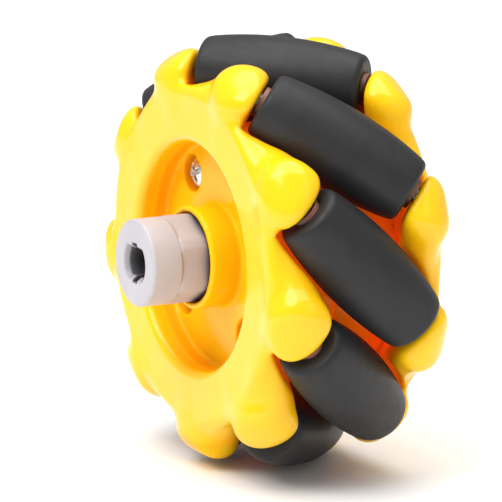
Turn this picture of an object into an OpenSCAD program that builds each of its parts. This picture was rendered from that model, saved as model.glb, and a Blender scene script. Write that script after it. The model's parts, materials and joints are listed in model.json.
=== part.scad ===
// Mecanum wheel, 60 mm class, for a small gearmotor with a double-D shaft.
// Two screwed plates carry nine barrel rollers, each free to spin on its own steel pin.
// The wheel turns about Y, its coupling points towards -Y, and Z is up. Millimetres.

/* [Wheel] */
// Outside diameter over the roller barrels
wheel_d = 60; // [58:1:66]
// Number of rollers
roller_count = 9; // [9:1:9]
// Angle of the first roller, from +X towards +Z
roller_phase = 3.6; // [0:0.1:40]
// Angle between each roller's axle and the wheel's axle
roller_tilt = 45; // [43:1:47]

/* [Rollers] */
// Radius of the circle that the roller axles cross
axle_circle_r = 24.3; // [24:0.1:24.6]
// Length of the rubber tread
tread_len = 23; // [22:0.5:23.5]
// Radius of the plastic core inside the tread
core_r = 3.2; // [3:0.1:3.6]
// Radius of the short stub at each end of the core
stub_r = 2.15; // [2:0.05:2.6]
// Length of that stub
stub_len = 0.45; // [0.3:0.05:0.5]
// Radius of the steel pin
pin_r = 1; // [0.8:0.1:1.2]
// Running clearance between the pin and the core, on the radius
pin_gap = 0.05; // [0.02:0.01:0.1]

/* [Plates] */
// Half of the width over the ring faces
ring_h = 13.2; // [13:0.1:13.6]
// Radius of the recess in each outer face
recess_r = 15.8; // [15:0.1:16]
// Depth of that recess
recess_depth = 4.6; // [4:0.1:5]
// Radius of the drum between the rollers
drum_r = 17.8; // [17.4:0.1:17.8]
// Outside radius of the ring between the lobes
ring_r = 23.6; // [23:0.1:24]
// Gap between a barrel and the plates
roller_gap = 0.55; // [0.5:0.05:0.6]
// Gap between a roller's end and the face of its lobe
end_gap = 0.65; // [0.6:0.05:1]
// Outside radius of the collar around the coupling
collar_r = 7.1; // [7.1:0.1:7.6]

/* [Coupling] */
// Outside diameter of the coupling
coupling_d = 12; // [11.6:0.1:12.2]
// How far its front face stands from the wheel's middle plane
coupling_front = 21.5; // [20:0.5:24]
// Width of the coupling's hexagonal shank across its flats
hex_flats = 11.4; // [11:0.1:11.6]
// Width of the shaft socket, across its round sides
shaft_w = 5.5; // [5.4:0.05:5.6]
// Height of the shaft socket, across its flats
shaft_h = 3.8; // [3.7:0.05:3.9]

/* [Screws] */
// Number of plate screws
screw_count = 4; // [3:1:4]
// Radius of the circle of the plate screws
screw_circle_r = 12.8; // [12.4:0.1:12.9]
// Angle of the first screw, from +X towards +Z
screw_phase = 127; // [120:1:134]
// Radius of the hole for the motor's own axle screw
axle_hole_r = 1.6; // [1.3:0.1:1.8]

/* [Hidden] */
$fn = 64;
K = [1 : roller_count];

wheel_r = wheel_d / 2;
step = 360 / roller_count;
tread_end = tread_len / 2;
tread_corner = 1;                       // rounding of the tread's ends
tread_lip = 1.2;                        // rubber that closes over each end of the core
core_end = tread_end - tread_lip;
boss_face = tread_end + end_gap;        // where a lobe's end face stands along a roller axle
boss_r = 4.6;                           // barrel of a lobe around the roller axle
pin_depth = 2.8;                        // how deep a pin sits in each lobe
pin_end = boss_face + pin_depth;
floor_h = ring_h - recess_depth;        // outer face of the recess floor
floor_t = 2;
ring_back = 9.8;                        // inner side of the ring between the lobes
collar_h = ring_h + 0.1;
collar_edge = 0.55;                     // rounding of the collar's rim
hub_r = 8.4;                            // barrel around the hexagonal socket
web_t = 3;                              // each plate's share of the central web
lobe_r = 28;                            // reach of a lobe at its outer face
lobe_back_r = 28.8;                     // reach of a lobe nearer the middle plane
lobe_h = 14.3;                          // outer face of a lobe
shoulder = 4.6;                         // rounding between those two
petal_root_r = 20;                      // where a petal starts inside the ring
petal_back = 9;                         // inner side of a petal
petal_front = ring_h - 0.2;             // outer side of a petal, just under the ring's face
screw_boss_r = 3.3;                     // post around each screw, inside the plate
screw_head_r = 2.3;
screw_head_h = 1.3;
screw_r = 1.25;
screw_seat_h = floor_h - 1.5;
screw_reach = 5;                        // how far a screw enters the rear plate
eps = 0.01;

yellow = [1, 0.85, 0.13];
black = [0.13, 0.13, 0.14];
grey = [0.83, 0.8, 0.81];
steel = [0.7, 0.7, 0.72];

// Points on an arc
function arc(cx, cy, r, from, to, n = 6) =
    [for (i = [0 : n]) let (a = from + (to - from) * i / n) [cx + r * cos(a), cy + r * sin(a)]];

// A point at a polar position, with radius and angle
function polar(p) = [p[0] * cos(p[1]), p[0] * sin(p[1])];

// Height of the wheel's outside over a roller's axle, s along the axle
function height_over(s) = sqrt(pow(wheel_r, 2) - pow(s * sin(roller_tilt), 2)) - axle_circle_r;

// Barrel radius at s: the largest circle that stays inside the wheel's outside
function barrel_r(s) = min([for (u = [-2 : 0.1 : 2]) norm([u, height_over(s + u)])]);

// Things drawn about Z at a roller's middle, put in place around the wheel
module at_roller(k)
    rotate([0, -(roller_phase + (k - 1) * step), 0])
        translate([axle_circle_r, 0, 0])
            rotate([-(90 + roller_tilt), 0, 0])
                children();

// Things drawn about Z, with Z as the height out from the middle plane
module about_axle()
    rotate([90, 0, 0]) children();

// Things drawn about Z on the screw circle, at each screw from the first one's angle
module at_screws(first = screw_phase)
    about_axle()
        for (i = [0 : screw_count - 1])
            rotate([0, 0, first + i * 360 / screw_count])
                translate([screw_circle_r, 0, 0])
                    children();

// The half turn that lays the front plate's shape over the rear plate's
module turned_to_rear()
    rotate(180, [cos(roller_phase), 0, sin(roller_phase)]) children();

// The space a roller turns in, with flat ends at the faces of its two lobes
module roller_space() {
    side = [for (s = [-7, -2, 2, 7]) [barrel_r(s) + roller_gap, s]];
    end_r = barrel_r(tread_end) + roller_gap;
    rotate_extrude()
        polygon(concat([[0, -boss_face], [end_r, -boss_face]], side, [[end_r, boss_face], [0, boss_face]]));
}

// Outer limit of the lobes, a turned shape with a rounded shoulder
module lobe_envelope()
    about_axle()
        rotate_extrude()
            polygon(concat(
                [[petal_root_r - 1, 5], [lobe_back_r, 5]],
                arc(lobe_r - shoulder, lobe_h - shoulder, shoulder, 10, 90, 3),
                [[petal_root_r - 1, lobe_h]]
            ));

// One lobe before it is cut: a barrel around the roller's axle and a petal that joins it to the ring
module lobe_blank(k) {
    outline = [[petal_root_r, 14], [23.4, 12.5], [28, 15.5], [29, 20], [29, 32], [27.6, 38], [25.8, 43],
        [24.2, 47], [23.2, 51], [petal_root_r, 50]];
    at_roller(k)
        translate([0, 0, -boss_face - 8])
            cylinder(r = boss_r, h = 9);
    about_axle()
        rotate([0, 0, roller_phase + (k - 1) * step])
            translate([0, 0, petal_back])
                linear_extrude(petal_front - petal_back)
                    polygon([for (p = outline) polar(p)]);
}

// A finished lobe, clear of its own roller and the next, with the hole for its pin
module lobe(k)
    difference() {
        intersection() {
            lobe_envelope();
            lobe_blank(k);
        }
        at_roller(k) roller_space();
        at_roller(k + 1) roller_space();
        at_roller(k) translate([0, 0, -pin_end - 0.1]) cylinder(r = pin_r, h = pin_end, $fn = 32);
    }

// Turned body of a plate: drum, ring with rounded edges, recess floor, collar and hub
module plate_body(first_screw) {
    edge = 1.2;
    about_axle() {
        rotate_extrude()
            polygon(concat(
                [[recess_r, 0], [drum_r, 0], [drum_r, ring_back], [ring_r, ring_back]],
                arc(ring_r - edge, ring_h - edge, edge, 0, 90),
                arc(recess_r + edge, ring_h - edge, edge, 90, 180)
            ));
        translate([0, 0, floor_h - floor_t])
            cylinder(r = recess_r + 0.5, h = floor_t);
        cylinder(r = hub_r, h = floor_h - eps);
        rotate_extrude()
            polygon(concat([[0, 0], [collar_r, 0]], arc(collar_r - collar_edge, collar_h - collar_edge, collar_edge, 0, 90, 4),
                [[0, collar_h]]));
    }
    at_screws(first_screw)
        cylinder(r = screw_boss_r, h = floor_h - eps);
}

// Hexagonal section of the coupling's shank, with its corners turned down
module hex_section(grow = 0)
    intersection() {
        circle(d = 2 * (hex_flats / 2 + grow) / cos(30), $fn = 6);
        circle(r = coupling_d / 2 + 0.1 + grow);
    }

// A plate without its screw holes, as both plates are moulded
module plate_blank(first_screw)
    difference() {
        union() {
            difference() {
                plate_body(first_screw);
                for (k = K) at_roller(k) roller_space();
            }
            for (k = K) lobe(k);
        }
        about_axle() {
            translate([0, 0, -1]) cylinder(r = axle_hole_r, h = 2 * ring_h, $fn = 32);
            translate([0, 0, web_t]) linear_extrude(ring_h) rotate(30) hex_section(0.05);
            translate([0, 0, collar_h - 3]) cylinder(r = coupling_d / 2 + 0.25, h = 4);
        }
    }

module front_plate()
    color(yellow)
        difference() {
            plate_blank(screw_phase);
            at_screws() {
                translate([0, 0, -1]) cylinder(r = screw_r + 0.1, h = ring_h, $fn = 32);
                translate([0, 0, screw_seat_h]) cylinder(r = 2.6, h = ring_h);
            }
        }

module rear_plate()
    color(yellow)
        difference() {
            turned_to_rear() plate_blank(2 * roller_phase - screw_phase);
            at_screws()
                translate([0, 0, -screw_reach - 1]) cylinder(r = screw_r, h = screw_reach + 2, $fn = 32);
        }

// Double-D section of the motor's shaft, grown on every side
module shaft_section(grow = 0)
    intersection() {
        circle(r = shaft_w / 2 + grow);
        square([shaft_w + 2, shaft_h + 2 * grow], center = true);
    }

module motor_coupling() {
    socket_depth = 11;
    tip_len = 4.5;
    edge = 0.5;
    r = coupling_d / 2;
    color(grey)
        about_axle()
            difference() {
                union() {
                    translate([0, 0, web_t + 0.2])
                        linear_extrude(coupling_front - tip_len - web_t - 0.2)
                            rotate(30) hex_section();
                    translate([0, 0, coupling_front - tip_len])
                        rotate_extrude()
                            polygon(concat([[0, 0], [r, 0]], arc(r - edge, tip_len - edge, edge, 0, 90, 4),
                                [[0, tip_len]]));
                }
                translate([0, 0, coupling_front - socket_depth]) linear_extrude(socket_depth + 1) shaft_section();
                translate([0, 0, coupling_front - 0.5]) linear_extrude(1) shaft_section(0.35);
                translate([0, 0, coupling_front - socket_depth])
                    linear_extrude(socket_depth + 1) square([1.3, shaft_h + 2], center = true);
                cylinder(r = axle_hole_r, h = coupling_front, $fn = 32);
            }
}

module plate_screws()
    color(steel)
        at_screws() {
            difference() {
                translate([0, 0, screw_seat_h])
                    rotate_extrude()
                        polygon(concat([[0, 0], [screw_head_r, 0]],
                            arc(screw_head_r - 0.6, screw_head_h - 0.6, 0.6, 0, 90, 4), [[0, screw_head_h]]));
                for (a = [0, 90])
                    rotate([0, 0, a + 20])
                        translate([-1.4, -0.3, screw_seat_h + 0.5]) cube([2.8, 0.6, screw_head_h]);
            }
            translate([0, 0, -screw_reach + 1]) cylinder(r = screw_r, h = screw_seat_h + screw_reach - 1, $fn = 32);
            translate([0, 0, -screw_reach]) cylinder(r1 = 0.4, r2 = screw_r, h = 1, $fn = 32);
        }

module roller_tread(k) {
    side_end = tread_end - tread_corner;
    end_r = barrel_r(side_end + 0.3) - tread_corner;
    color(black)
        at_roller(k)
            rotate_extrude()
                polygon(concat(
                    [[stub_r, -core_end], [stub_r, -tread_end]],
                    arc(end_r, -side_end, tread_corner, -90, -10, 4),
                    [for (s = [-9.5 : 1 : 9.5]) [barrel_r(s), s]],
                    arc(end_r, side_end, tread_corner, 10, 90, 4),
                    [[stub_r, tread_end], [stub_r, core_end], [core_r, core_end], [core_r, -core_end]]
                ));
}

module roller_core(k)
    color(grey)
        at_roller(k)
            difference() {
                union() {
                    cylinder(r = core_r, h = 2 * core_end, center = true);
                    cylinder(r = stub_r, h = tread_len + 2 * stub_len, center = true);
                }
                cylinder(r = pin_r + pin_gap, h = tread_len + 4, center = true, $fn = 32);
            }

module roller_pin(k)
    color(steel)
        at_roller(k)
            cylinder(r = pin_r, h = 2 * pin_end, center = true, $fn = 32);

front_plate();
rear_plate();
motor_coupling();
plate_screws();
for (k = K) {
    roller_tread(k);
    roller_core(k);
    roller_pin(k);
}
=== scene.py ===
"""Looks of a mecanum wheel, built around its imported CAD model.

The wheel's axle is Y, its coupling points to -Y and Z is up. Blender works in metres. The shapes here are
worked out in millimetres, as distance functions that are turned into meshes, and scaled at the end.
"""
import json
import math

import bpy
import numpy as np
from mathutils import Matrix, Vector


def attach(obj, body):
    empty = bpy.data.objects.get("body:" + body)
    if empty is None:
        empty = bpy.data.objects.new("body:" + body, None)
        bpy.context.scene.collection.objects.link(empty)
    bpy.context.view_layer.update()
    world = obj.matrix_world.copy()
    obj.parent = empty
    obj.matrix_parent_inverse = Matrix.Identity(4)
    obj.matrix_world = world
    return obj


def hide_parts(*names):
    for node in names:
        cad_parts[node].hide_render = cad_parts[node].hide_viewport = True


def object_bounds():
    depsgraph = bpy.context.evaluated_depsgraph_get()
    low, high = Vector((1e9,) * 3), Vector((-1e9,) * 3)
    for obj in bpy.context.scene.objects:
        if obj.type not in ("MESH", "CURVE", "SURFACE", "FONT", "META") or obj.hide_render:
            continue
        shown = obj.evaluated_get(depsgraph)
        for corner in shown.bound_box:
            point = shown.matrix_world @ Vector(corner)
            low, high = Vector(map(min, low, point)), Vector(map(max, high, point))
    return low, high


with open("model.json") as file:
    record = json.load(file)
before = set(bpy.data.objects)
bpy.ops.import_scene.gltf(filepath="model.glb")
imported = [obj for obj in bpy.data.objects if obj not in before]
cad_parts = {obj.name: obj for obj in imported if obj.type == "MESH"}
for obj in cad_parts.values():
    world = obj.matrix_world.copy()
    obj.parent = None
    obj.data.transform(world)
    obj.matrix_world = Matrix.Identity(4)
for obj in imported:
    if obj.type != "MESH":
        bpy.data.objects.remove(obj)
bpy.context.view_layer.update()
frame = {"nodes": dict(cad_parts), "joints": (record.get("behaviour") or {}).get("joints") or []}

MM = 0.001

# ---------------------------------------------------------------- sizes, in millimetres
ROLLERS = [j for j in frame["joints"] if j["name"].startswith("roller_")]
COUNT = len(ROLLERS)
STEP = 2 * math.pi / COUNT
FIRST = Vector(ROLLERS[0]["pos_m"]) / MM
AXLE_CIRCLE = FIRST.length                   # radius of the circle that the roller axles cross
PHASE = math.atan2(FIRST.z, FIRST.x)         # angle of the first roller, from +X towards +Z
TILT = math.radians(45)

WHEEL_R = 30.0
TREAD_HALF = 11.5
BOSS_FACE = TREAD_HALF + 0.65                # a lobe's end face, along the roller axle
PIN_END = BOSS_FACE + 2.8
BOSS_R = 4.6
BOSS_IN, BOSS_OUT = 1.5, 3.2                 # how far a lobe's end reaches past its face, in and out
TAIL_CIRCLE = 21.6                           # where a lobe's shoulder ends on the ring
TAIL_ANGLE = math.radians(44)
ROLLER_GAP = 0.55
PIN_R = 1.0
CORE_R = 3.2
CORE_END = TREAD_HALF - 1.2
STUB_R = 2.15
STUB_END = TREAD_HALF + 0.6

RING_FACE = 13.2
LOBE_R = 28.9
LOBE_FACE = 14.3
RING_R = 23.6
RECESS_R = 15.8
FLOOR = 8.6
RING_BACK = 9.8
DRUM_R = 17.8
COLLAR_R = 7.1
COUPLING_R = 6.0
COUPLING_FRONT = 21.5
HEX_HALF = 5.7
AXLE_HOLE_R = 1.6
WEB = 3.0
HUB_R = 8.4
SEAM = 17.0                                  # where the coupling's round tip meets its hexagonal shank
SHAFT_R = 2.75
SHAFT_FLAT = 1.9
SHAFT_DEPTH = 11.0
NOTCH_HALF = 0.7
LEAD_IN = 0.7

SCREW_COUNT = 4
SCREW_CIRCLE = 12.8
SCREW_PHASE = math.radians(127)
SCREW_SEAT = FLOOR - 1.5
SCREW_REACH = 5.0
SCREW_R = 1.25
SCREW_POST_R = 3.3
COUNTERBORE_R = 2.6
HEAD_R = 2.3
HEAD_H = 1.3
THREAD_PITCH = 0.9
THREAD_DEPTH = 0.28


# ---------------------------------------------------------------- distance functions
def joined(a, b, k):
    """Union with a fillet of about k."""
    t = np.clip(0.5 + 0.5 * (b - a) / k, 0, 1)
    return b + (a - b) * t - k * t * (1 - t)


def cut(a, b, k):
    """a without b, with the edge rounded by about k."""
    return -joined(-a, b, k)


def common(a, b, k):
    """Where both are, with the edge rounded by about k."""
    return -joined(-a, -b, k)


def slab(value, low, high):
    """Between two parallel planes."""
    return np.maximum(low - value, value - high)


def turned(r, h, r0, r1, h0, h1, edge):
    """A turned block between two radii and two heights, with rounded edges."""
    p = np.abs(r - (r0 + r1) / 2) - (r1 - r0) / 2 + edge
    q = np.abs(h - (h0 + h1) / 2) - (h1 - h0) / 2 + edge
    return np.hypot(np.maximum(p, 0), np.maximum(q, 0)) + np.minimum(np.maximum(p, q), 0) - edge


def hexagon(x, z, half):
    """A hexagon with one flat facing +X."""
    flats = [np.abs(x * math.cos(a) + z * math.sin(a)) for a in (0, math.pi / 3, 2 * math.pi / 3)]
    return np.maximum(np.maximum(flats[0], flats[1]), flats[2]) - half


def rod(p, q, r, a, b, ra, rb):
    """A rod with round ends between two points, its radius going from ra to rb."""
    ab = [b[i] - a[i] for i in range(3)]
    t = ((p - a[0]) * ab[0] + (q - a[1]) * ab[1] + (r - a[2]) * ab[2]) / sum(v * v for v in ab)
    t = np.clip(t, 0, 1)
    d = np.sqrt((p - a[0] - ab[0] * t) ** 2 + (q - a[1] - ab[1] * t) ** 2 + (r - a[2] - ab[2] * t) ** 2)
    return d - (ra + (rb - ra) * t)


# ---------------------------------------------------------------- barrel of a roller
def barrel_radius(s):
    """Largest radius, s along the roller axle, that stays inside the wheel's outside."""
    u = np.linspace(-2, 2, 81)
    over = np.sqrt(WHEEL_R ** 2 - ((s + u) * math.sin(TILT)) ** 2) - AXLE_CIRCLE
    return float(np.hypot(u, over).min())


STATIONS = np.linspace(-14, 14, 57)
BARREL = np.array([barrel_radius(s) for s in STATIONS])


# ---------------------------------------------------------------- the two yellow plates
def lobe(u, v, h):
    """One lobe, with u out along its roller's radius, v around the wheel and h out from the middle plane."""
    along = (h + v) / math.sqrt(2) - BOSS_FACE
    side = (h - v) / math.sqrt(2)
    out = u - AXLE_CIRCLE
    reach = along - np.clip(along, -BOSS_IN, BOSS_OUT)
    bullet = np.sqrt(out ** 2 + side ** 2 + reach ** 2) - BOSS_R
    tail = (TAIL_CIRCLE * math.cos(TAIL_ANGLE), TAIL_CIRCLE * math.sin(TAIL_ANGLE), 10.0)
    shoulder = rod(u, v, h, (AXLE_CIRCLE - 0.3, 11.0, 9.2), tail, 3.5, 2.3)
    root = rod(u, v, h, (AXLE_CIRCLE - 0.5, 9.0, 9.4), (18.5, 7.5, 9.5), 3.2, 3.0)
    body = joined(joined(bullet, shoulder, 1.5), root, 1.6)
    return common(body, -along, 2.4)


def roller_space(u, v, h):
    """The space that a roller turns in."""
    s = -(h + v) / math.sqrt(2)
    side = (h - v) / math.sqrt(2)
    off = np.hypot(u - AXLE_CIRCLE, side)
    return np.maximum(off - np.interp(s, STATIONS, BARREL) - ROLLER_GAP, np.abs(s) - BOSS_FACE)


def pin_hole(u, v, h):
    """The hole that a roller's pin sits in."""
    s = -(h + v) / math.sqrt(2)
    off = np.hypot(u - AXLE_CIRCLE, (h - v) / math.sqrt(2))
    return np.maximum(off - PIN_R, np.abs(s) - PIN_END - 0.1)


def screw_offsets(x, z, phase):
    """The distance to each plate screw's axis in turn."""
    for i in range(SCREW_COUNT):
        a = phase + i * 2 * math.pi / SCREW_COUNT
        yield np.hypot(x - SCREW_CIRCLE * math.cos(a), z - SCREW_CIRCLE * math.sin(a))


def plate(x, y, z, with_heads):
    """The front plate. with_heads gives it the screws' counterbores, and without them it has pilot holes."""
    h = -y
    r = np.hypot(x, z)
    around = np.mod(np.arctan2(z, x) - PHASE, STEP)

    ring = turned(r, h, RECESS_R, RING_R, RING_BACK - 0.2, RING_FACE, 1.2)
    body = joined(ring, turned(r, h, RECESS_R, DRUM_R, -4, RING_BACK + 1, 0.3), 0.4)
    lobes = None
    for k in (-1, 0, 1):
        u, v = r * np.cos(around - k * STEP), r * np.sin(around - k * STEP)
        one = lobe(u, v, h)
        lobes = one if lobes is None else joined(lobes, one, 0.5)
    lobes = common(lobes, turned(r, h, -40, LOBE_R, -20, LOBE_FACE, 6.5), 2.2)
    body = joined(body, lobes, 1.6)
    for k in (-1, 0, 1):
        u, v = r * np.cos(around - k * STEP), r * np.sin(around - k * STEP)
        body = cut(body, roller_space(u, v, h), 0.55)
        body = np.maximum(body, -pin_hole(u, v, h))

    body = joined(body, turned(r, h, -2, RECESS_R + 0.4, FLOOR - 2, FLOOR, 0.05), 0.7)
    body = joined(body, turned(r, h, -2, HUB_R, -4, FLOOR - 0.2, 0.05), 0.3)
    body = joined(body, turned(r, h, -2, COLLAR_R, -4, RING_FACE + 0.1, 0.55), 0.6)
    # the front plate has its own screw angles; the rear plate is this shape after a half turn
    phase = SCREW_PHASE if with_heads else 2 * PHASE - SCREW_PHASE
    for off in screw_offsets(x, z, phase):
        body = joined(body, np.maximum(off - SCREW_POST_R, slab(h, -4, FLOOR - 0.2)), 0.3)
    for off in screw_offsets(x, z, phase):
        if with_heads:
            body = np.maximum(body, -(off - SCREW_R - 0.1))
            body = cut(body, np.maximum(off - COUNTERBORE_R, SCREW_SEAT - h), 0.15)
        else:
            body = np.maximum(body, -np.maximum(off - SCREW_R, h - SCREW_REACH - 1))

    socket = np.maximum(np.maximum(hexagon(x, z, HEX_HALF + 0.05), r - COUPLING_R - 0.2), WEB - h)
    mouth = np.maximum(r - COUPLING_R - 0.3, RING_FACE - 3 - h)
    body = cut(body, socket, 0.15)
    body = cut(body, mouth, 0.25)
    body = np.maximum(body, AXLE_HOLE_R - r)
    return np.maximum(body, -h)


# ---------------------------------------------------------------- coupling and screws
def shaft_socket(x, z, grow):
    """The double-D socket for the motor's shaft, made wider by grow."""
    return np.maximum(np.hypot(x, z) - SHAFT_R - grow, np.abs(z) - SHAFT_FLAT - grow)


def coupling(x, y, z):
    """The motor coupling, with its round tip in front of its hexagonal shank."""
    h = -y
    r = np.hypot(x, z)
    tip = turned(r, h, -8, COUPLING_R, SEAM, COUPLING_FRONT, 0.4)
    shank = common(hexagon(x, z, HEX_HALF - 0.1), r - COUPLING_R - 0.1, 0.1)
    shank = common(shank, slab(h, WEB + 0.2, SEAM + 0.1), 0.25)
    body = np.minimum(tip, shank)
    deep = COUPLING_FRONT - SHAFT_DEPTH - h
    lead = 0.5 * np.clip((h - COUPLING_FRONT + LEAD_IN) / LEAD_IN, 0, 1)
    body = cut(body, np.maximum(shaft_socket(x, z, lead), deep), 0.12)
    notch = np.maximum(np.maximum(np.abs(x) - NOTCH_HALF, np.abs(z) - SHAFT_R), deep)
    body = cut(body, notch, 0.12)
    return np.maximum(body, AXLE_HOLE_R - r)


def screw(x, y, z):
    """A cross-head screw on its own axis, its seat at height 0 and its head above."""
    h = -y
    r = np.hypot(x, z)
    dome = np.sqrt(r ** 2 + (h + 2.4) ** 2) - 3.75
    head = common(turned(r, h, -4, HEAD_R, 0, HEAD_H, 0.35), dome, 0.2)
    depth = np.clip((HEAD_H - h) / HEAD_H, 0, 1)
    cross = None
    for p, q in ((x, z), (z, x)):
        arm = np.maximum(np.abs(p) - 0.34 + 0.12 * depth, np.abs(q) - 1.45 + 0.75 * depth)
        cross = arm if cross is None else np.minimum(cross, arm)
    head = cut(head, np.maximum(cross, 0.25 - h), 0.1)
    length = SCREW_SEAT + SCREW_REACH
    turn = np.arctan2(z, x) / (2 * math.pi)
    thread = np.abs(np.mod(h / THREAD_PITCH + turn, 1) - 0.5) * 2
    taper = np.clip((h + length) / 1.6, 0.15, 1)
    shank = np.maximum(r - (SCREW_R - THREAD_DEPTH * thread) * taper, slab(h, -length, 0.2))
    return np.minimum(head, shank)


# ---------------------------------------------------------------- meshes
def surface(field, low, high, cell):
    """Points and quads on the surface where field is 0, found cell by cell inside a box."""
    axes = [np.arange(low[i], high[i] + cell, cell) for i in range(3)]
    grid = np.meshgrid(*axes, indexing="ij")
    values = field(*grid)
    shape = np.array(values.shape)
    cells = int(np.prod(shape - 1))
    total, count = np.zeros((3, cells)), np.zeros(cells)
    quads = []
    for axis in range(3):
        ahead = np.take(values, range(1, shape[axis]), axis)
        here = np.take(values, range(shape[axis] - 1), axis)
        index = np.array(np.nonzero((here < 0) != (ahead < 0)))
        a, b = here[tuple(index)], ahead[tuple(index)]
        place = index.astype(float)
        place[axis] += a / (a - b)
        one, two = (axis + 1) % 3, (axis + 2) % 3
        corners, whole = [], np.ones(index.shape[1], bool)
        for d1, d2 in ((1, 1), (0, 1), (0, 0), (1, 0)):
            c = index.copy()
            c[one] -= d1
            c[two] -= d2
            inside = np.all((c >= 0) & (c < (shape - 1)[:, None]), axis=0)
            flat = np.ravel_multi_index(np.clip(c, 0, (shape - 2)[:, None]), shape - 1)
            for i in range(3):
                total[i] += np.bincount(flat[inside], place[i][inside], cells)
            count += np.bincount(flat[inside], minlength=cells)
            whole &= inside
            corners.append(flat)
        quad = np.array(corners).T
        quad[a > b] = quad[a > b][:, ::-1]
        quads.append(quad[whole])
    quads = np.vstack(quads)
    used, quads = np.unique(quads, return_inverse=True)
    points = (total[:, used] / count[used]) * cell + np.array(low)[:, None]
    return settle(field, points, cell), quads.reshape(-1, 4)


def settle(field, points, cell):
    """Moves points onto the surface along the field's slope."""
    tiny = 0.02
    for _ in range(3):
        value = field(*points)
        slope = np.array([
            field(*(points + tiny * np.eye(3)[i][:, None])) - field(*(points - tiny * np.eye(3)[i][:, None]))
            for i in range(3)
        ]) / (2 * tiny)
        size = np.maximum((slope ** 2).sum(0), 0.25)
        move = np.clip(value / size, -cell / 3, cell / 3) * slope
        points = points - move
    return points.T


def mesh_object(name, points, faces, body, material, stands_for=()):
    """A smooth piece from points in millimetres."""
    mesh = bpy.data.meshes.new(name)
    mesh.from_pydata((np.asarray(points) * MM).tolist(), [], np.asarray(faces).tolist())
    mesh.update()
    mesh.polygons.foreach_set("use_smooth", [True] * len(mesh.polygons))
    mesh.materials.append(material)
    piece = bpy.data.objects.new(name, mesh)
    bpy.context.scene.collection.objects.link(piece)
    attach(piece, body)
    if stands_for:
        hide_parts(*stands_for)
    return piece


def lathe(profile, around, place):
    """Points and quads of a closed profile of (radius, height) turned about Z, moved by place."""
    points, faces = [], []
    n = len(profile)
    for i in range(around):
        a = 2 * math.pi * i / around
        points += [place @ Vector((r * math.cos(a), r * math.sin(a), s)) for r, s in profile]
    for i in range(around):
        j = (i + 1) % around
        for p in range(n):
            q = (p + 1) % n
            faces.append((i * n + p, j * n + p, j * n + q, i * n + q))
    return [tuple(p) for p in points], faces


def arc(cr, cs, radius, start, stop, steps):
    """Points on an arc of an outline, its angles in degrees."""
    return [
        (cr + radius * math.cos(math.radians(a)), cs + radius * math.sin(math.radians(a)))
        for a in np.linspace(start, stop, steps + 1)
    ]


def roller_place(joint):
    """Turns a shape about Z into place on a roller's axle."""
    axis = Vector(joint["axis"]).normalized()
    turn = axis.to_track_quat("Z", "X").to_matrix().to_4x4()
    turn.translation = Vector(joint["pos_m"]) / MM
    return turn


# ---------------------------------------------------------------- materials
class Nodes:
    """A small helper that builds one node material."""

    def __init__(self, name):
        self.material = bpy.data.materials.new(name)
        self.material.use_nodes = True
        self.tree = self.material.node_tree
        self.shader = self.tree.nodes["Principled BSDF"]
        self.where = self.tree.nodes.new("ShaderNodeTexCoord").outputs["Object"]

    def link(self, output, target):
        self.tree.links.new(output, target)

    def noise(self, size_mm, detail=3, roughness=0.5, stretch=(1, 1, 1)):
        """Noise with features of about this size."""
        mapping = self.tree.nodes.new("ShaderNodeMapping")
        mapping.inputs["Scale"].default_value = stretch
        self.link(self.where, mapping.inputs["Vector"])
        node = self.tree.nodes.new("ShaderNodeTexNoise")
        node.inputs["Scale"].default_value = 1 / (size_mm * MM)
        node.inputs["Detail"].default_value = detail
        node.inputs["Roughness"].default_value = roughness
        self.link(mapping.outputs["Vector"], node.inputs["Vector"])
        return node.outputs["Fac"]

    def ramp(self, value, stops):
        node = self.tree.nodes.new("ShaderNodeValToRGB")
        ramp = node.color_ramp
        while len(ramp.elements) < len(stops):
            ramp.elements.new(0.5)
        for element, (place, colour) in zip(ramp.elements, stops):
            element.position = place
            element.color = (*colour, 1) if isinstance(colour, tuple) else (colour, colour, colour, 1)
        self.link(value, node.inputs["Fac"])
        return node.outputs["Color"]

    def bump(self, value, height_mm, below=None):
        node = self.tree.nodes.new("ShaderNodeBump")
        node.inputs["Strength"].default_value = 1
        node.inputs["Distance"].default_value = height_mm * MM
        self.link(value, node.inputs["Height"])
        if below:
            self.link(below, node.inputs["Normal"])
        return node.outputs["Normal"]

    def openness(self, reach_mm):
        """How open each point is to its surroundings, 0 deep inside a gap and 1 in the open."""
        node = self.tree.nodes.new("ShaderNodeAmbientOcclusion")
        node.samples = 8
        node.inputs["Distance"].default_value = reach_mm * MM
        return node.outputs["AO"]

    def radius(self, stops):
        """A ramp over the distance from the wheel's axle, its stops in millimetres."""
        flat = self.tree.nodes.new("ShaderNodeVectorMath")
        flat.operation = "MULTIPLY"
        flat.inputs[1].default_value = (1 / (WHEEL_R * MM), 0, 1 / (WHEEL_R * MM))
        self.link(self.where, flat.inputs[0])
        length = self.tree.nodes.new("ShaderNodeVectorMath")
        length.operation = "LENGTH"
        self.link(flat.outputs["Vector"], length.inputs[0])
        return self.ramp(length.outputs["Value"], [(r / WHEEL_R, value) for r, value in stops])

    def math(self, operation, a, b):
        node = self.tree.nodes.new("ShaderNodeMath")
        node.operation = operation
        self.link(a, node.inputs[0])
        self.link(b, node.inputs[1])
        return node.outputs["Value"]

    def blend(self, amount, low, colour):
        """From a fixed colour, where amount is 0, to another one's output, where it is 1."""
        node = self.tree.nodes.new("ShaderNodeMix")
        node.data_type = "RGBA"
        node.inputs["A"].default_value = (*low, 1)
        self.link(amount, node.inputs["Factor"])
        self.link(colour, node.inputs["B"])
        return node.outputs["Result"]

    def set(self, **values):
        for name, value in values.items():
            self.shader.inputs[name.replace("_", " ")].default_value = value


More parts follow.
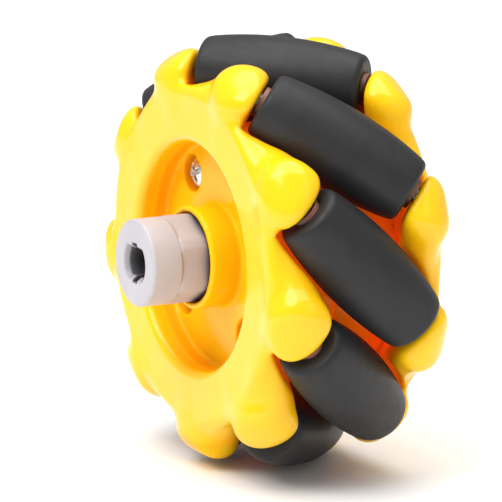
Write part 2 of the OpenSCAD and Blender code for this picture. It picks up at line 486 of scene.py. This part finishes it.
def yellow_plastic():
    m = Nodes("yellow_plastic")
    flow = m.ramp(m.noise(14, 2), [(0.3, (1.0, 0.54, 0.004)), (0.7, (1.0, 0.58, 0.005))])
    # painted shade: the colour goes from yellow to a deep orange in gaps and hollows, found by ambient
    # occlusion; always_lit keeps it off the lobes' outer ends and weakens it in the recess
    openness = m.openness(7)
    always_lit = m.radius([(15.7, 0.4), (16.2, 0.0), (24, 0.0), (27, 1.0)])
    lit = m.math("MAXIMUM", m.ramp(openness, [(0.15, 0.0), (0.85, 1.0)]), always_lit)
    m.link(m.blend(lit, (1.0, 0.31, 0.003), flow), m.shader.inputs["Base Color"])
    # painted shade on the reflections: the gloss is turned down in gaps, by ambient occlusion, and in the
    # recess
    outside_recess = m.radius([(15.6, 0.45), (16.4, 1.0)])
    gloss = m.math("MULTIPLY", m.ramp(openness, [(0.55, 0.08), (0.95, 0.42)]), outside_recess)
    m.link(gloss, m.shader.inputs["Specular IOR Level"])
    # painted glow: the drum between the plates gives off deep orange light in its gaps, found by ambient
    # occlusion, though it is no lamp
    drum = m.radius([(16.5, 0.0), (17.7, 1.0), (22, 1.0), (25, 0.0)])
    painted_glow = m.math("MULTIPLY", m.ramp(openness, [(0.0, 0.45), (0.5, 0.0)]), drum)
    m.link(painted_glow, m.shader.inputs["Emission Strength"])
    m.set(Emission_Color=(1.0, 0.09, 0.003, 1))
    m.link(m.ramp(m.noise(3, 4), [(0.3, 0.13), (0.75, 0.21)]), m.shader.inputs["Roughness"])
    waves = m.bump(m.noise(6, 1), 0.03)
    m.link(m.bump(m.noise(0.35, 2), 0.0025, waves), m.shader.inputs["Normal"])
    m.set(Subsurface_Weight=0.15, Subsurface_Radius=(1.0, 0.3, 0.03), Subsurface_Scale=0.0025)
    return m.material


def black_rubber():
    m = Nodes("black_rubber")
    m.link(
        m.ramp(m.noise(5, 5, 0.6), [(0.3, (0.017, 0.017, 0.018)), (0.75, (0.024, 0.024, 0.025))]),
        m.shader.inputs["Base Color"],
    )
    m.link(m.ramp(m.noise(1.2, 5, 0.65), [(0.3, 0.42), (0.75, 0.55)]), m.shader.inputs["Roughness"])
    grain = m.bump(m.noise(0.18, 3), 0.006)
    m.link(m.bump(m.noise(2.5, 2), 0.02, grain), m.shader.inputs["Normal"])
    m.set(Specular_IOR_Level=0.27)
    return m.material


def pale_plastic(name, low, high, deep, rough):
    m = Nodes(name)
    tone = m.ramp(m.noise(4, 3), [(0.3, low), (0.7, high)])
    # painted shade: the colour goes towards deep in bores and gaps, found by ambient occlusion
    lit = m.ramp(m.openness(8), [(0.25, 0.0), (0.95, 1.0)])
    m.link(m.blend(lit, deep, tone), m.shader.inputs["Base Color"])
    m.link(m.ramp(m.noise(0.8, 4), [(0.3, rough - 0.06), (0.7, rough + 0.06)]), m.shader.inputs["Roughness"])
    tool_marks = m.bump(m.noise(0.5, 2, 0.5, (1, 0.08, 1)), 0.004)
    m.link(m.bump(m.noise(0.12, 2), 0.002, tool_marks), m.shader.inputs["Normal"])
    m.set(Subsurface_Weight=0.08, Subsurface_Radius=(1.0, 0.8, 0.7), Subsurface_Scale=0.0012)
    return m.material


def steel(name, base, rough, stretch):
    m = Nodes(name)
    dull = tuple(0.85 * c for c in base)
    m.link(m.ramp(m.noise(1.5, 4), [(0.3, dull), (0.7, base)]), m.shader.inputs["Base Color"])
    m.link(m.ramp(m.noise(0.4, 4), [(0.3, rough - 0.06), (0.7, rough + 0.08)]), m.shader.inputs["Roughness"])
    m.link(m.bump(m.noise(0.15, 3, 0.5, stretch), 0.004), m.shader.inputs["Normal"])
    m.set(Metallic=1.0)
    return m.material


YELLOW = yellow_plastic()
RUBBER = black_rubber()
GREY = pale_plastic("grey_plastic", (0.45, 0.43, 0.46), (0.49, 0.47, 0.50), (0.04, 0.037, 0.04), 0.42)
# painted light: the core's tan-brown stands for a pale grey core lit orange by the yellow plates and in
# shade
CORE = pale_plastic("core_plastic", (0.36, 0.14, 0.08), (0.42, 0.18, 0.11), (0.05, 0.015, 0.01), 0.45)
SCREW_STEEL = steel("screw_steel", (0.72, 0.70, 0.68), 0.25, (1, 1, 1))
PIN_STEEL = steel("pin_steel", (0.32, 0.32, 0.33), 0.38, (1, 1, 1))

# ---------------------------------------------------------------- pieces on the hub
PLATE_CELL = 0.33


def half_turned(points):
    """The half turn about the first roller's radius, which lays the front plate over the rear one."""
    axis = np.array([math.cos(PHASE), 0, math.sin(PHASE)])
    return 2 * np.outer(points @ axis, axis) - points


def make_plates():
    reach = WHEEL_R + 0.5
    low, high = (-reach, -15, -reach), (reach, 0.6, reach)
    for name, heads in (("front_plate", True), ("rear_plate", False)):
        points, faces = surface(lambda x, y, z: plate(x, y, z, heads), low, high, PLATE_CELL)
        if not heads:
            points = half_turned(points)
        mesh_object(name + "_moulding", points, faces, "hub", YELLOW, [name])


def make_coupling():
    reach = COUPLING_R + 0.6
    points, faces = surface(coupling, (-reach, -COUPLING_FRONT - 0.5, -reach), (reach, -2.5, reach), 0.16)
    mesh_object("coupling_moulding", points, faces, "hub", GREY, ["motor_coupling"])


def make_screws():
    reach = HEAD_R + 0.3
    low, high = (-reach, -HEAD_H - 0.3, -reach), (reach, SCREW_SEAT + SCREW_REACH + 0.3, reach)
    points, faces = surface(screw, low, high, 0.11)
    for i in range(SCREW_COUNT):
        a = SCREW_PHASE + i * 2 * math.pi / SCREW_COUNT
        spin = math.radians(20 + 35 * i)
        x = points[:, 0] * math.cos(spin) - points[:, 2] * math.sin(spin)
        z = points[:, 0] * math.sin(spin) + points[:, 2] * math.cos(spin)
        place = [x + SCREW_CIRCLE * math.cos(a), points[:, 1] - SCREW_SEAT, z + SCREW_CIRCLE * math.sin(a)]
        mesh_object(
            f"plate_screw_{i + 1}", np.array(place).T, faces, "hub", SCREW_STEEL,
            ["plate_screws"],
        )


# ---------------------------------------------------------------- rollers
def tread_profile():
    """Outline of a tread as (radius, along): the barrel, rounded ends and the bore for the core."""
    corner, inner = 1.0, 0.25
    side_end = TREAD_HALF - corner
    end_r = barrel_radius(side_end + 0.3) - corner
    side = [(barrel_radius(s), s) for s in np.linspace(-side_end + 0.4, side_end - 0.4, 41)]
    return (
        arc(STUB_R + inner, -TREAD_HALF + inner, inner, 180, 270, 3)
        + arc(end_r, -side_end, corner, -90, -8, 9)
        + side
        + arc(end_r, side_end, corner, 8, 90, 9)
        + arc(STUB_R + inner, TREAD_HALF - inner, inner, 90, 180, 3)
        + [(STUB_R, CORE_END), (CORE_R, CORE_END), (CORE_R, -CORE_END), (STUB_R, -CORE_END)]
    )


def core_profile():
    """Outline of a core as (radius, along): its barrel, a stub at each end and the bore for the pin."""
    bore, edge = PIN_R + 0.05, 0.2
    half = [
        (bore, 0),
        (bore, STUB_END - edge),
        (bore + edge, STUB_END),
    ] + arc(STUB_R - edge, STUB_END - edge, edge, 90, 0, 3) + [
        (STUB_R, CORE_END),
        (CORE_R, CORE_END),
    ]
    return half + [(r, -s) for r, s in reversed(half[1:])]


def make_rollers():
    for number, joint in enumerate(ROLLERS, 1):
        place = roller_place(joint)
        body = joint["child"]
        points, faces = lathe(tread_profile(), 96, place)
        tread, core = f"roller_tread_{number}", f"roller_core_{number}"
        mesh_object(f"tread_{number}", points, faces, body, RUBBER, [tread])
        points, faces = lathe(core_profile()[::-1], 64, place)
        mesh_object(f"core_{number}", points, faces, body, CORE, [core])
        # the pins need no more shape than their CAD nodes have
        for pin_slot in frame["nodes"][f"roller_pin_{number}"].material_slots:
            pin_slot.material = PIN_STEEL


make_plates()
make_coupling()
make_screws()
make_rollers()


# ---------------------------------------------------------------- floor, light and camera
def make_floor():
    size = 3.0
    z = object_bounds()[0].z
    mesh = bpy.data.meshes.new("floor")
    corners = [(-size, -size, z), (size, -size, z), (size, size, z), (-size, size, z)]
    mesh.from_pydata(corners, [], [(0, 1, 2, 3)])
    floor = bpy.data.objects.new("floor", mesh)
    bpy.context.scene.collection.objects.link(floor)
    material = bpy.data.materials.new("floor_paint")
    material.use_nodes = True
    shader = material.node_tree.nodes["Principled BSDF"]
    shader.inputs["Base Color"].default_value = (0.97, 0.97, 0.97, 1)
    shader.inputs["Roughness"].default_value = 0.7
    mesh.materials.append(material)


def aim(thing, target):
    thing.rotation_mode = "QUATERNION"
    thing.rotation_quaternion = (Vector(target) - thing.location).to_track_quat("-Z", "Y")


def make_light(name, place, size, power):
    data = bpy.data.lights.new(name, "AREA")
    data.shape = "RECTANGLE"
    data.size, data.size_y = size
    data.energy = power
    lamp = bpy.data.objects.new(name, data)
    lamp.location = place
    bpy.context.scene.collection.objects.link(lamp)
    aim(lamp, (0, 0, 0))


def direction(azimuth, elevation):
    """Unit vector from the wheel towards a viewer at this azimuth and elevation."""
    a, e = math.radians(azimuth), math.radians(elevation)
    return Vector((math.sin(a) * math.cos(e), -math.cos(a) * math.cos(e), math.sin(e)))


def make_camera():
    data = bpy.data.cameras.new("camera")
    data.lens, data.sensor_width = 262, 36
    data.clip_start, data.clip_end = 0.01, 20
    camera = bpy.data.objects.new("camera", data)
    target = Vector((0, -0.0035, 0))
    camera.location = target + direction(61.6, 11.1) * 0.504
    aim(camera, target)
    bpy.context.scene.collection.objects.link(camera)
    bpy.context.scene.camera = camera


def make_light_rig():
    world = bpy.data.worlds.new("studio")
    bpy.context.scene.world = world
    world.use_nodes = True
    background = world.node_tree.nodes["Background"]
    background.inputs["Color"].default_value = (1, 1, 1, 1)
    background.inputs["Strength"].default_value = 0.48
    make_light("top", (0, 0, 0.9), (1.0, 1.0), 9.5)
    make_light("key", direction(10, 50) * 0.6, (0.4, 0.3), 2.2)
    make_light("fill", direction(110, 30) * 0.7, (0.3, 0.4), 0.25)


make_floor()
make_light_rig()
make_camera()
bpy.context.scene.view_settings.view_transform = "Standard"
